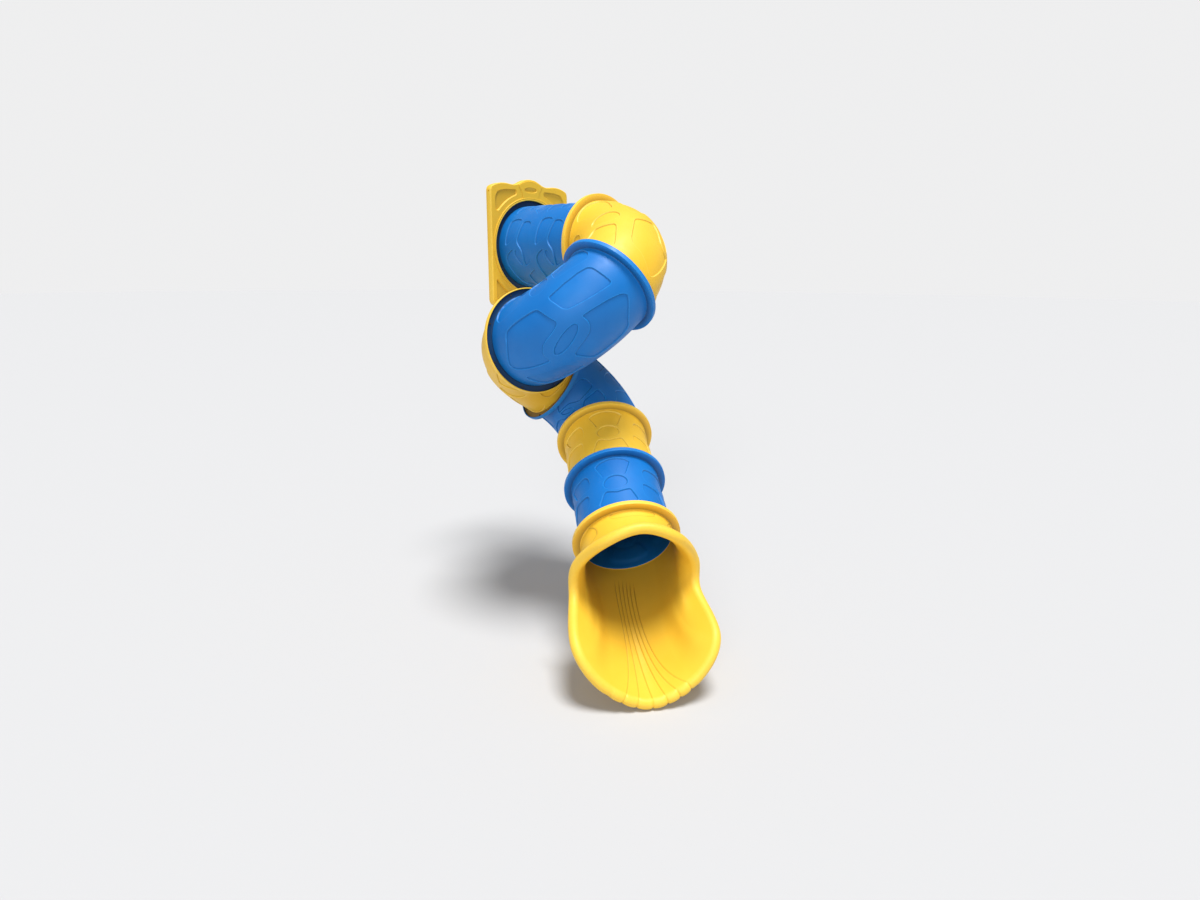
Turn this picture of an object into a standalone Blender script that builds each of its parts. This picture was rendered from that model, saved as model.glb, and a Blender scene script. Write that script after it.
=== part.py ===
# Spiral tube slide: an entrance panel, a chain of bolted tube sections and an open exit chute.
# Metres, +Z up. The origin lies on the flat back of the entrance panel, on its lower edge strip,
# and the slide leaves the panel along -Y and winds down clockwise to the ground.

import math

import bmesh
import bpy
from mathutils import Matrix, Vector

# Tube sections
BORE = 0.375               # inside radius of every section
WALL = 0.007               # wall of the moulded plastic
SKIN = BORE + WALL         # outside radius of the plain body
SIDES = 40                 # flats around a section
BEND_RADIUS = 0.560        # centreline radius of the quarter bends
BEND_STEPS = 8             # straight steps along a quarter bend

# Joints: the collar of the lower section reaches up around the flange of the section above it
COLLAR = 0.444             # outside radius of a collar
HALF_COLLAR = 0.0185       # the collar runs this far to both sides of the joint's plane
SOCKET = 0.434             # inside radius of the collar's socket
SEAT = 0.0085              # the socket's floor lies this far below the joint's plane
FLANGE = 0.432             # outside radius of the flange that sits in the socket
FLANGE_DEPTH = 0.008
FILLET = 0.016             # length of the slope between the plain body and a collar or flange
GAP = 0.0003               # clearance between two sections that touch

# Route, from the panel down
AXIS_HEIGHT = 0.495        # the first tube's axis above the origin
TOP_LENGTH = 0.942         # from the panel's ring to the first joint
LOWER_LENGTH = 0.609       # each of the two straight sections above the exit
BEND_ROLLS = (36.9, 15.5, 31.1, 33.7)   # how far each bend dips below level, in degrees

# Entrance panel
PANEL_THICK = 0.060
PANEL_HALF_WIDTH = 0.480
PANEL_BOTTOM = -0.555      # heights on the panel are measured from the tube's axis
PANEL_SHOULDER = 0.577
PANEL_LOBE = 0.012         # rise of the two side lobes of the top edge
PANEL_CROWN = 0.058        # rise of the middle lobe
CROWN_HALF_WIDTH = 0.190
CORNER_RADIUS = 0.035
RING_RADIUS = 0.470        # raised ring around the hole
RING_RISE = 0.018
PANEL_SEAT = 0.040         # the first tube's flange sits this far in front of the panel's back

# Exit chute: its rim runs through these points, on one side, from the hood's top to the lip,
# as (out to the side, forward, up) from the middle of the last joint. The second triple says
# which way the chute's wall runs where it meets the rim there.
RIM = {
    "top": ((0.0, 0.558, 0.301), (0.0, 0.95, 0.15)),
    "shoulder": ((0.269, 0.542, 0.205), (0.35, 0.90, 0.10)),
    "side": ((0.455, 0.371, -0.044), (0.60, 0.75, 0.15)),
    "waist": ((0.479, 0.381, -0.295), (0.65, 0.45, 0.50)),
    "flare": ((0.515, 0.794, -0.496), (0.80, 0.30, 0.50)),
    "corner": ((0.329, 0.921, -0.748), (0.35, 0.85, -0.10)),
    "lip": ((0.0, 0.946, -0.894), (0.0, 0.985, -0.17)),
}
RIM_RADIUS = 0.043         # the rolled rim is a round bead
RIM_STEPS = 10             # flats around the bead
CHUTE_STEPS = 8            # rows of faces between the collar and the rim


def make_material(name, colour, roughness):
    material = bpy.data.materials.new(name)
    material.use_nodes = True
    shader = material.node_tree.nodes["Principled BSDF"]
    shader.inputs["Base Color"].default_value = colour + (1.0,)
    shader.inputs["Roughness"].default_value = roughness
    shader.inputs["Metallic"].default_value = 0.0
    material.diffuse_color = colour + (1.0,)
    return material


def add_object(name, mesh, material_name):
    new_object = bpy.data.objects.new(name, mesh)
    bpy.context.scene.collection.objects.link(new_object)
    if not mesh.materials:
        mesh.materials.append(bpy.data.materials[material_name])
    return new_object


def closed_mesh(name, loops):
    """One closed body from a ring of point loops: each loop is joined to the next, the last to the first."""
    shape = bmesh.new()
    rows = [[shape.verts.new(point) for point in loop] for loop in loops]
    count = len(rows[0])
    for row, after in zip(rows, rows[1:] + rows[:1]):
        for index in range(count):
            following = (index + 1) % count
            shape.faces.new((row[index], row[following], after[following], after[index]))
    bmesh.ops.recalc_face_normals(shape, faces=shape.faces)
    mesh = bpy.data.meshes.new(name)
    shape.to_mesh(mesh)
    shape.free()
    mesh.shade_smooth()
    mesh.set_sharp_from_angle(angle=math.radians(35.0))
    return mesh


def hoop(centre, travel, across, radius):
    """Points of a circle around the travel direction, starting from the across direction."""
    third = travel.cross(across)
    points = []
    for index in range(SIDES):
        angle = math.tau * index / SIDES
        points.append(centre + radius * (math.cos(angle) * across + math.sin(angle) * third))
    return points


def collar_profile():
    """(distance below the joint's plane, radius) around the upper end of a section."""
    return [
        (SEAT, BORE),
        (SEAT, SOCKET),
        (-HALF_COLLAR, SOCKET),
        (-HALF_COLLAR, COLLAR),
        (HALF_COLLAR, COLLAR),
        (HALF_COLLAR, SKIN + 0.014),
        (HALF_COLLAR + FILLET, SKIN),
    ]


def upper_flange_profile():
    """The first tube's upper end: a plain flange that sits in the panel's ring."""
    return [
        (GAP, BORE),
        (GAP, FLANGE),
        (GAP + FLANGE_DEPTH, FLANGE),
        (GAP + FLANGE_DEPTH, SKIN + 0.010),
        (GAP + FLANGE_DEPTH + FILLET, SKIN),
    ]


def lower_flange_profile():
    """(distance below the joint's plane, radius) around the lower end of a section."""
    face = SEAT - GAP
    return [
        (face - FLANGE_DEPTH - FILLET, SKIN),
        (face - FLANGE_DEPTH, SKIN + 0.010),
        (face - FLANGE_DEPTH, FLANGE),
        (face, FLANGE),
        (face, BORE),
    ]


def straight_mesh(name, length, upper_profile):
    """A straight section along local +X, from the upper joint at x = 0 to the lower one at x = length."""
    travel = Vector((1.0, 0.0, 0.0))
    across = Vector((0.0, 0.0, 1.0))
    profile = list(upper_profile)
    profile += [(length + distance, radius) for distance, radius in lower_flange_profile()]
    loops = [hoop(travel * distance, travel, across, radius) for distance, radius in profile]
    return closed_mesh(name, loops)


def bend_mesh(name):
    """A quarter bend that enters along local +X and leaves along local +Y."""
    across = Vector((0.0, 0.0, 1.0))

    def station(angle):
        travel = Vector((math.cos(angle), math.sin(angle), 0.0))
        centre = Vector((math.sin(angle), 1.0 - math.cos(angle), 0.0)) * BEND_RADIUS
        return centre, travel

    def skin_hoops(radius, first, last):
        step = (last - first) / BEND_STEPS
        angles = [first + step * index for index in range(BEND_STEPS + 1)]
        return [hoop(*station(angle), across, radius) for angle in angles]

    upper = collar_profile()
    lower = lower_flange_profile()
    start, travel_in = station(0.0)
    end, travel_out = station(math.pi / 2)
    loops = [hoop(start + travel_in * d, travel_in, across, r) for d, r in upper[:-1]]
    loops += skin_hoops(SKIN, upper[-1][0] / BEND_RADIUS, math.pi / 2 + lower[0][0] / BEND_RADIUS)
    loops += [hoop(end + travel_out * d, travel_out, across, r) for d, r in lower[1:]]
    inner = skin_hoops(BORE, SEAT / BEND_RADIUS, math.pi / 2)
    loops += inner[:0:-1]
    return closed_mesh(name, loops)


def around_rim(half):
    """A closed smooth curve through (out, forward, up) triples, from 0 at the top to 1 at the lip."""
    # the hoops run round from the top by the right-hand side, which is -Y, and so does the rim
    half = [Vector((forward, -out, up)) for out, forward, up in half]
    mirrored = [Vector((point.x, -point.y, point.z)) for point in half[-2:0:-1]]
    points = half + mirrored
    count = len(points)

    def at(share):
        place = share * (len(half) - 1)
        index = math.floor(place)
        u = place - index
        before, start, end, after = (points[(index + offset) % count] for offset in (-1, 0, 1, 2))
        slope_in = (end - before) / 2
        slope_out = (after - start) / 2
        cubic = (2 * u ** 3 - 3 * u ** 2 + 1) * start + (u ** 3 - 2 * u ** 2 + u) * slope_in
        return cubic + (3 * u ** 2 - 2 * u ** 3) * end + (u ** 3 - u ** 2) * slope_out

    return at


def chute_mesh(name, slope):
    """The exit chute in a level frame: +X forward, +Z up, the joint's middle at the origin."""
    travel = Vector((math.cos(slope), 0.0, -math.sin(slope)))
    across = Vector((math.sin(slope), 0.0, math.cos(slope)))
    rim = around_rim([point for point, run in RIM.values()])
    wall_run = around_rim([run for point, run in RIM.values()])
    upper = collar_profile()
    body_start = upper[-1][0]
    rows = hoop(travel * body_start, travel, across, BORE + WALL / 2)
    shares = [2 * index / SIDES for index in range(SIDES)]

    # where each line down the chute meets the rim, and which way it then runs
    centres = [rim(share) for share in shares]
    ends = []
    outward = []
    for share in shares:
        along_rim = (rim(share + 0.001) - rim(share - 0.001)).normalized()
        run = wall_run(share)
        run = (run - run.dot(along_rim) * along_rim).normalized()
        ends.append(run)
        outward.append(along_rim.cross(run).normalized())

    def line_point(index, share):
        start = rows[index]
        end = centres[index] - outward[index] * (RIM_RADIUS - WALL / 2)
        reach = (end - start).length / 3
        first = start + travel * reach
        second = end - ends[index] * reach
        rest = 1.0 - share
        return (rest ** 3 * start + 3 * rest ** 2 * share * first
                + 3 * rest * share ** 2 * second + share ** 3 * end)

    def line_normal(index, share):
        step = 0.01
        low = max(0.0, share - step)
        high = min(1.0, share + step)
        down = line_point(index, high) - line_point(index, low)
        around = line_point((index + 1) % SIDES, share) - line_point(index - 1, share)
        return around.cross(down).normalized()

    def skin_row(share, side):
        row = []
        for index in range(SIDES):
            reach = (centres[index] - rows[index]).length
            stop = 1.0 if side < 0 else 1.0 - 0.026 / reach
            row.append(line_point(index, share * stop)
                       + line_normal(index, share * stop) * (side * WALL / 2))
        return row

    closing = math.acos((RIM_RADIUS - WALL) / RIM_RADIUS)
    turn = (math.tau - closing) / RIM_STEPS

    def bead_row(step):
        angle = turn * step
        row = []
        for centre, run, out in zip(centres, ends, outward):
            row.append(centre + RIM_RADIUS * (math.sin(angle) * run - math.cos(angle) * out))
        return row

    loops = [hoop(travel * d, travel, across, r) for d, r in upper]
    loops += [skin_row(step / CHUTE_STEPS, 1.0) for step in range(1, CHUTE_STEPS + 1)]
    loops += [bead_row(step) for step in range(RIM_STEPS - 1, -1, -1)]
    loops += [skin_row(step / CHUTE_STEPS, -1.0) for step in range(CHUTE_STEPS - 1, -1, -1)]
    return closed_mesh(name, loops)


def panel_outline():
    """The panel's outline seen from the front, around the tube's axis, from the lower left corner."""
    points = []
    inner = PANEL_HALF_WIDTH - CORNER_RADIUS
    corner_steps = 4
    quarter = math.pi / 2 / corner_steps
    lower = PANEL_BOTTOM + CORNER_RADIUS
    upper = PANEL_SHOULDER - CORNER_RADIUS
    for step in range(corner_steps + 1):
        angle = math.pi + quarter * step
        points.append((-inner + CORNER_RADIUS * math.cos(angle), lower + CORNER_RADIUS * math.sin(angle)))
    for step in range(corner_steps + 1):
        angle = math.pi * 1.5 + quarter * step
        points.append((inner + CORNER_RADIUS * math.cos(angle), lower + CORNER_RADIUS * math.sin(angle)))
    for step in range(corner_steps + 1):
        angle = quarter * step
        points.append((inner + CORNER_RADIUS * math.cos(angle), upper + CORNER_RADIUS * math.sin(angle)))
    top_steps = 28
    for step in range(1, top_steps):
        x = inner - 2 * inner * step / top_steps
        if abs(x) < CROWN_HALF_WIDTH:
            rise = PANEL_CROWN * (1 + math.cos(math.pi * x / CROWN_HALF_WIDTH)) / 2
        else:
            rise = PANEL_LOBE * math.sin(math.pi * (abs(x) - CROWN_HALF_WIDTH) / (inner - CROWN_HALF_WIDTH))
        points.append((x, PANEL_SHOULDER + rise))
    for step in range(corner_steps + 1):
        angle = math.pi / 2 + quarter * step
        points.append((-inner + CORNER_RADIUS * math.cos(angle), upper + CORNER_RADIUS * math.sin(angle)))
    return points


def prism(name, points, y_back, y_front):
    """A closed prism: the outline at y_back, pushed out to y_front. Heights are above the tube's axis."""
    shape = bmesh.new()
    corners = [shape.verts.new((x, y_back, AXIS_HEIGHT + z)) for x, z in points]
    face = shape.faces.new(corners)
    pushed = bmesh.ops.extrude_face_region(shape, geom=[face])
    moved = [item for item in pushed["geom"] if isinstance(item, bmesh.types.BMVert)]
    bmesh.ops.translate(shape, verts=moved, vec=(0.0, y_front - y_back, 0.0))
    bmesh.ops.recalc_face_normals(shape, faces=shape.faces)
    mesh = bpy.data.meshes.new(name)
    shape.to_mesh(mesh)
    shape.free()
    return mesh


def circle_points(radius, sides):
    return [(radius * math.cos(math.tau * index / sides), radius * math.sin(math.tau * index / sides))
            for index in range(sides)]


def helper_object(name, mesh):
    helper = bpy.data.objects.new(name, mesh)
    bpy.context.scene.collection.objects.link(helper)
    helper.hide_render = True
    helper.display_type = 'WIRE'
    return helper


def add_boolean(target, tool, operation):
    boolean = target.modifiers.new(tool.name, 'BOOLEAN')
    boolean.operation = operation
    boolean.solver = 'EXACT'
    boolean.object = tool


def build_panel():
    front = -PANEL_THICK
    ring_front = front - RING_RISE
    panel = add_object("entrance_panel", prism("entrance_panel", panel_outline(), 0.0, front), "yellow plastic")
    ring = prism("ring", circle_points(RING_RADIUS, 64), front / 2, ring_front)
    socket = prism("socket", circle_points(SOCKET, SIDES), -PANEL_SEAT, ring_front - 0.05)
    hole = prism("hole", circle_points(BORE, SIDES), 0.05, ring_front - 0.05)
    add_boolean(panel, helper_object("ring_helper", ring), 'UNION')
    add_boolean(panel, helper_object("socket_helper", socket), 'DIFFERENCE')
    add_boolean(panel, helper_object("hole_helper", hole), 'DIFFERENCE')
    return ring_front


def place(item, position, travel, across):
    """Turns an object so that its local X runs along the travel and its local Y across it."""
    turn = Matrix((travel, across, travel.cross(across))).transposed()
    item.location = position
    item.rotation_euler = turn.to_euler()


def level_right(travel):
    """The level direction to the right of someone sliding along the travel."""
    return travel.cross(Vector((0.0, 0.0, 1.0))).normalized()


def build_slide():
    for item in list(bpy.data.objects):
        bpy.data.objects.remove(item)
    make_material("yellow plastic", (1.0, 0.60, 0.035), 0.35)
    make_material("blue plastic", (0.02, 0.21, 0.70), 0.35)

    ring_front = build_panel()

    # the first tube runs straight out of the panel's ring
    travel = Vector((0.0, -1.0, 0.0))
    seat = Vector((0.0, -PANEL_SEAT, AXIS_HEIGHT))
    position = Vector((0.0, ring_front - TOP_LENGTH, AXIS_HEIGHT))
    top_mesh = straight_mesh("top_tube", (position - seat).length, upper_flange_profile())
    place(add_object("top_tube", top_mesh, "blue plastic"), seat, travel, level_right(travel))

    # four quarter bends, yellow and blue in turn, share two meshes
    colours = ("yellow plastic", "blue plastic")
    bend_meshes = [bend_mesh("bend_yellow"), bend_mesh("bend_blue")]
    for number, roll in enumerate(BEND_ROLLS):
        right = level_right(travel)
        down = travel.cross(right)
        angle = math.radians(roll)
        leaving = (math.cos(angle) * right + math.sin(angle) * down).normalized()
        bend = add_object(f"bend_{number + 1}", bend_meshes[number % 2], colours[number % 2])
        place(bend, position, travel, leaving)
        position = position + BEND_RADIUS * (travel + leaving)
        travel = leaving

    # two straight sections run down to the exit
    for name, colour in (("lower_tube_1", "yellow plastic"), ("lower_tube_2", "blue plastic")):
        tube = add_object(name, straight_mesh(name, LOWER_LENGTH, collar_profile()), colour)
        place(tube, position, travel, level_right(travel))
        position = position + LOWER_LENGTH * travel

    slope = math.asin(-travel.z)
    heading = math.atan2(travel.y, travel.x)
    chute = add_object("exit_chute", chute_mesh("exit_chute", slope), "yellow plastic")
    chute.location = position
    chute.rotation_euler = (0.0, 0.0, heading)


build_slide()
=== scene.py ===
import math

import bmesh
import bpy
import numpy as np
from mathutils import Matrix, Vector


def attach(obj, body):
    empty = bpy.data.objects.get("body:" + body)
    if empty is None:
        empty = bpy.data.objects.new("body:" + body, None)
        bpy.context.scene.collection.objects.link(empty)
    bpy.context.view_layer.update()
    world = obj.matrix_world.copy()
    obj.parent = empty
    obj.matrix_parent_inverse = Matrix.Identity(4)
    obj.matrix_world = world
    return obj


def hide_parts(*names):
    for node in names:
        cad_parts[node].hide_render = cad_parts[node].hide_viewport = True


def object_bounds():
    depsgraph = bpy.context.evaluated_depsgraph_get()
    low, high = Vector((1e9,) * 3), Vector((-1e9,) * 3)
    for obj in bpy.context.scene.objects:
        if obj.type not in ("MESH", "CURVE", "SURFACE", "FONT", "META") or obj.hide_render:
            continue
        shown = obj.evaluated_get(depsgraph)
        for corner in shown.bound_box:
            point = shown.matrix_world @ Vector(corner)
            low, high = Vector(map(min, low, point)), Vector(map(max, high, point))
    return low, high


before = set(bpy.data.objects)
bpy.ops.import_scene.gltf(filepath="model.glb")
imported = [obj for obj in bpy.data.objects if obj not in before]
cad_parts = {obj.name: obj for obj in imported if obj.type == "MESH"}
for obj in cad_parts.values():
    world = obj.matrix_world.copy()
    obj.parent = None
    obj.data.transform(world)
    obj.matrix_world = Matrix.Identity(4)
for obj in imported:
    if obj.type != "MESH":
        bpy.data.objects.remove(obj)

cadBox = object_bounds()
print("frame loaded:", len(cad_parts), "CAD nodes")

up = Vector((0.0, 0.0, 1.0))
creaseAngle = 32.0              # degrees past which an edge is shaded sharp
closeBy = 1e-4                  # metres within which two places count as one
onRingWithin = 2e-5             # metres within which a point belongs to a ring


# ways of working that every piece uses

def clearSelection():
    if bpy.context.object and bpy.context.object.mode != "OBJECT":
        bpy.ops.object.mode_set(mode="OBJECT")
    bpy.ops.object.select_all(action="DESELECT")


def pickOnly(piece):
    clearSelection()
    piece.select_set(True)
    bpy.context.view_layer.objects.active = piece


def applyPlace(piece):
    pickOnly(piece)
    bpy.ops.object.transform_apply(location=True, rotation=True, scale=True)


def giveName(piece, name):
    piece.name = name
    piece.data.name = name


def settled(name=None):
    # the primitive just added, with its place in its mesh
    piece = bpy.context.object
    if name:
        giveName(piece, name)
    applyPlace(piece)
    return piece


def editAll(piece):
    # edit mode, with every point selected
    pickOnly(piece)
    bpy.ops.object.mode_set(mode="EDIT")
    bpy.ops.mesh.select_mode(type="VERT")
    bpy.ops.mesh.select_all(action="SELECT")


def facesOutward():
    # leaves edit mode with every face turned outward
    bpy.ops.mesh.select_all(action="SELECT")
    bpy.ops.mesh.normals_make_consistent(inside=False)
    bpy.ops.object.mode_set(mode="OBJECT")


def selectEdges(piece, wanted):
    # in edit mode, the edges whose two ends pass the test
    bpy.ops.mesh.select_all(action="DESELECT")
    mesh = bmesh.from_edit_mesh(piece.data)
    for edge in mesh.edges:
        if wanted(*(point.co for point in edge.verts)):
            edge.select_set(True)
    bmesh.update_edit_mesh(piece.data)


def shadeSmooth(piece):
    pickOnly(piece)
    bpy.ops.object.shade_smooth_by_angle(angle=math.radians(creaseAngle))


def finishPiece(piece, node, finish):
    material, slotName = finish
    pickOnly(piece)
    piece.data.materials.clear()
    piece.data.materials.append(material)
    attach(piece, "root")
    if node:
        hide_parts(node)


def meshValues(items, field, width=1, kind=np.int32):
    values = np.empty(len(items) * width, dtype=kind)
    items.foreach_get(field, values)
    return values if width == 1 else values.reshape(-1, width)


def pointsOf(piece):
    return meshValues(piece.data.vertices, "co", 3, float)


def movePoints(piece, places):
    piece.data.vertices.foreach_set("co", np.ascontiguousarray(places).ravel())
    piece.data.update()


def pointValue(piece, name, values):
    layer = piece.data.attributes.get(name) or piece.data.attributes.new(name, "FLOAT", "POINT")
    layer.data.foreach_set("value", np.asarray(values, dtype=np.float32))


def smoothStep(share):
    share = np.clip(share, 0.0, 1.0)
    return share * share * (3.0 - 2.0 * share)


def between(values, low, high):
    return (values > low) & (values < high)


def bell(distance, width):
    # 1 at no distance, and near 0 past twice the width
    return np.exp(-(distance / width) ** 2)


# procedural finishes: rotationally moulded polyethylene with a satin skin

plasticLook = {
    # each colour's paintedShade is painted shade for deep corners, recesses and creases; its pale is for
    # wear and painted highlight on edges
    "yellow": {"base": (0.94, 0.585, 0.045), "shade": (0.90, 0.53, 0.033), "pale": (1.0, 0.74, 0.14),
               "paintedShade": (0.13, 0.075, 0.010)},
    "blue": {"base": (0.003, 0.180, 0.57), "shade": (0.002, 0.150, 0.50), "pale": (0.02, 0.30, 0.78),
             "paintedShade": (0.001, 0.014, 0.038)},
    "refraction": 1.51,
    "specular": 0.38,
    "roughness": (0.42, 0.56),
    # each noise as (scale, detail)
    "tones": (2.2, 4.0),        # slow changes of colour
    "flecks": (60.0, 6.0),      # in the worn and painted-highlight edges
    "patches": (14.0, 8.0),     # of gloss
    "waves": (9.0, 1.0),        # slow unevenness of a moulded wall
    "pebbles": (420.0, 2.0),    # the fine skin that comes from the mould
    # each relief as (strength, distance)
    "waveBump": (0.05, 0.02),
    "pebbleBump": (0.06, 0.002),
}

steelLook = {
    "dark": (0.035, 0.036, 0.038, 1.0),
    "pale": (0.13, 0.13, 0.125, 1.0),
    "bloom": (180.0, 4.0),      # the noise of the dulled zinc, as (scale, detail)
    "roughness": (0.42, 0.65),
}


def setInputs(tree, node, inputs):
    # each input gets a value, or the output that feeds it
    for name, value in inputs.items():
        if isinstance(value, bpy.types.NodeSocket):
            tree.links.new(value, node.inputs[name])
        else:
            node.inputs[name].default_value = value


def addNode(tree, kind, place, inputs=None, **settings):
    node = tree.nodes.new("ShaderNode" + kind)
    node.location = place
    for name, value in settings.items():
        setattr(node, name, value)
    setInputs(tree, node, inputs or {})
    return node


def newMaterial(name, inputs):
    material = bpy.data.materials.new(name)
    material.use_nodes = True
    shader = material.node_tree.nodes["Principled BSDF"]
    setInputs(material.node_tree, shader, inputs)
    return material, material.node_tree, shader


def addNoise(tree, where, place, scaleAndDetail):
    scale, detail = scaleAndDetail
    noise = addNode(tree, "TexNoise", place,
                    {"Vector": where.outputs["Object"], "Scale": scale, "Detail": detail})
    return noise.outputs["Fac"]


def plasticMaterial(name, colours):
    look = plasticLook
    base, shade, pale, paintedShade = (colours[part] + (1.0,) for part in ("base", "shade", "pale", "paintedShade"))
    material, tree, shader = newMaterial(name, {"Metallic": 0.0, "IOR": look["refraction"],
                                                "Specular IOR Level": look["specular"]})
    material.diffuse_color = base
    where = addNode(tree, "TexCoord", (-1400, 0))

    def noise(kind, height):
        return addNoise(tree, where, (-1100, height), look[kind])

    def blend(place, first, second, share):
        mix = addNode(tree, "Mix", place, {"A": first, "B": second, "Factor": share}, data_type="RGBA")
        return mix.outputs["Result"]

    tones = addNode(tree, "MapRange", (-900, 250),
                    {"Value": noise("tones", 250), "From Min": 0.35, "From Max": 0.7})
    body = blend((-650, 250), base, shade, tones.outputs["Result"])

    # painted highlight along the edges, partly also wear where hands and shoes rub: these go a little paler
    wearAndHighlight = addNode(tree, "Attribute", (-1100, 0), attribute_name="wearAndHighlight")
    flecked = addNode(tree, "Math", (-850, -60), {0: wearAndHighlight.outputs["Fac"], 1: noise("flecks", -180)},
                      operation="MULTIPLY")
    wornAndHighlighted = blend((-400, 200), body, pale, flecked.outputs["Value"])

    # painted shade: darker in the deep corners of the joints, in recesses and along creases
    paintedShading = addNode(tree, "Attribute", (-400, 0), attribute_name="paintedShade")
    darkened = blend((-200, 200), wornAndHighlighted, paintedShade, paintedShading.outputs["Fac"])

    # micro-roughness: faint rubbed patches
    low, high = look["roughness"]
    gloss = addNode(tree, "MapRange", (-650, -420),
                    {"Value": noise("patches", -420), "From Min": 0.3, "From Max": 0.7,
                     "To Min": low, "To Max": high})

    # slow waves of the moulded wall, then the pebbled skin on top
    strength, distance = look["waveBump"]
    waves = addNode(tree, "Bump", (-650, -680),
                    {"Height": noise("waves", -680), "Strength": strength, "Distance": distance})
    strength, distance = look["pebbleBump"]
    pebbles = addNode(tree, "Bump", (-400, -760),
                      {"Height": noise("pebbles", -900), "Strength": strength, "Distance": distance,
                       "Normal": waves.outputs["Normal"]})
    setInputs(tree, shader, {"Base Color": darkened, "Roughness": gloss.outputs["Result"],
                             "Normal": pebbles.outputs["Normal"]})
    return material


def steelMaterial():
    material, tree, shader = newMaterial("zinc plated steel", {"Metallic": 1.0})
    where = addNode(tree, "TexCoord", (-900, 0))
    bloom = addNoise(tree, where, (-700, 0), steelLook["bloom"])
    tint = addNode(tree, "ValToRGB", (-450, 100), {"Fac": bloom})
    tint.color_ramp.elements[0].color = steelLook["dark"]
    tint.color_ramp.elements[1].color = steelLook["pale"]
    low, high = steelLook["roughness"]
    gloss = addNode(tree, "MapRange", (-450, -200), {"Value": bloom, "To Min": low, "To Max": high})
    setInputs(tree, shader, {"Base Color": tint.outputs["Color"], "Roughness": gloss.outputs["Result"]})
    return material


# each finish as (material, slot)
yellow = (plasticMaterial("moulded yellow plastic", plasticLook["yellow"]), "yellow_plastic")
blue = (plasticMaterial("moulded blue plastic", plasticLook["blue"]), "blue_plastic")
steel = (steelMaterial(), "zinc_plated_steel")
print("finishes ready")


# the recessed pads of the tube walls, in pixels: across runs around the tube, down along it

padScale = 600.0                # pixels in a metre
padTurn = 1440.0                # pixels around a wall
motifMiddle = (7, 271)          # of the boots and quads
longMiddle, shortMiddle = 272, 183      # how far down a keystone pair's middle lies
padCorner = 10                  # how far a pad's corners are cut back
leaningCorner = 9               # the same for the boots and quads

# the ovals as (middle, half length, half width, direction)
padOvals = {
    "leaning": (motifMiddle, 61, 26, (70, 100)),
    "long": ((0, longMiddle), 76, 50, (1, 0)),
    "short": ((0, 187), 60, 44, (1, 0)),
}

padShapes = {
    "bootA": [(-37, 192), (-37, 180), (-30, 150), (-18, 110), (0, 75), (15, 62), (30, 57), (50, 62),
              (100, 80), (140, 92), (165, 95), (190, 103), (205, 125), (213, 160), (215, 200),
              (213, 230), (205, 245), (170, 258), (130, 270), (103, 280), (90, 275), (75, 255),
              (60, 225), (45, 205), (20, 193), (0, 189), (-30, 192)],
    "quadA": [(-200, 85), (-180, 77), (-70, 70), (-63, 78), (-80, 140), (-97, 195), (-105, 215),
              (-120, 225), (-200, 245), (-212, 242), (-220, 180), (-215, 120)],
    "keystone": [(-105, 60), (-85, 35), (-30, 20), (30, 20), (85, 35), (105, 60), (75, 130),
                 (62, 180), (50, 192), (-50, 192), (-62, 180), (-75, 130)],
    "shortKeystoneTop": [(-95, 52), (-70, 35), (0, 25), (60, 35), (88, 52), (65, 110), (55, 142),
                         (38, 138), (0, 133), (-38, 138), (-52, 145), (-62, 130)],
    "shortKeystoneBottom": [(-70, 245), (-62, 240), (0, 253), (55, 235), (68, 245), (85, 280),
                            (100, 305), (85, 318), (0, 324), (-85, 318), (-95, 305), (-82, 275)],
}


def ovalPad(centre, halfLong, halfShort, direction):
    angle = math.atan2(direction[1], direction[0])
    points = []
    for step in range(48):
        turn = math.tau * step / 48
        along, side = halfLong * math.cos(turn), halfShort * math.sin(turn)
        points.append((centre[0] + along * math.cos(angle) - side * math.sin(angle),
                       centre[1] + along * math.sin(angle) + side * math.cos(angle)))
    return points


def softCorners(points, reach):
    # each corner is cut back by the reach, or less on a short edge, and rounded
    points = [Vector(point) for point in points]
    rounded = []
    for index, corner in enumerate(points):
        before, after = points[index - 1], points[(index + 1) % len(points)]
        start = corner + (before - corner) * min(0.5, reach / max((before - corner).length, 1e-6))
        end = corner + (after - corner) * min(0.5, reach / max((after - corner).length, 1e-6))
        for step in range(5):
            share = step / 4
            rounded.append((1 - share) ** 2 * start + 2 * share * (1 - share) * corner + share ** 2 * end)
    return [tuple(point) for point in rounded]


def centred(shapes, middle):
    return [[(across - middle[0], down - middle[1]) for across, down in outline] for outline in shapes]


def leaningMotif():
    # a tilted oval between two boots and two quads, the same when it is turned by half a turn
    shapes = [ovalPad(*padOvals["leaning"])]
    for name in ("bootA", "quadA"):
        outline = softCorners(padShapes[name], leaningCorner)
        shapes.append(outline)
        shapes.append([(2 * motifMiddle[0] - across, 2 * motifMiddle[1] - down)
                       for across, down in outline])
    return centred(shapes, motifMiddle)


def upright(long):
    # an oval between two keystones
    if long:
        outline = softCorners(padShapes["keystone"], padCorner)
        shapes = [ovalPad(*padOvals["long"]), outline,
                  [(across, 2 * longMiddle - down) for across, down in outline]]
        return centred(shapes, (0, longMiddle))
    shapes = [softCorners(padShapes["shortKeystone" + end], padCorner) for end in ("Top", "Bottom")]
    return centred([ovalPad(*padOvals["short"])] + shapes, (0, shortMiddle))


def padAt(shapes, across, down, squeeze=1.0):
    return [(across, [(x, down + y * squeeze) for x, y in outline]) for outline in shapes]


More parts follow.
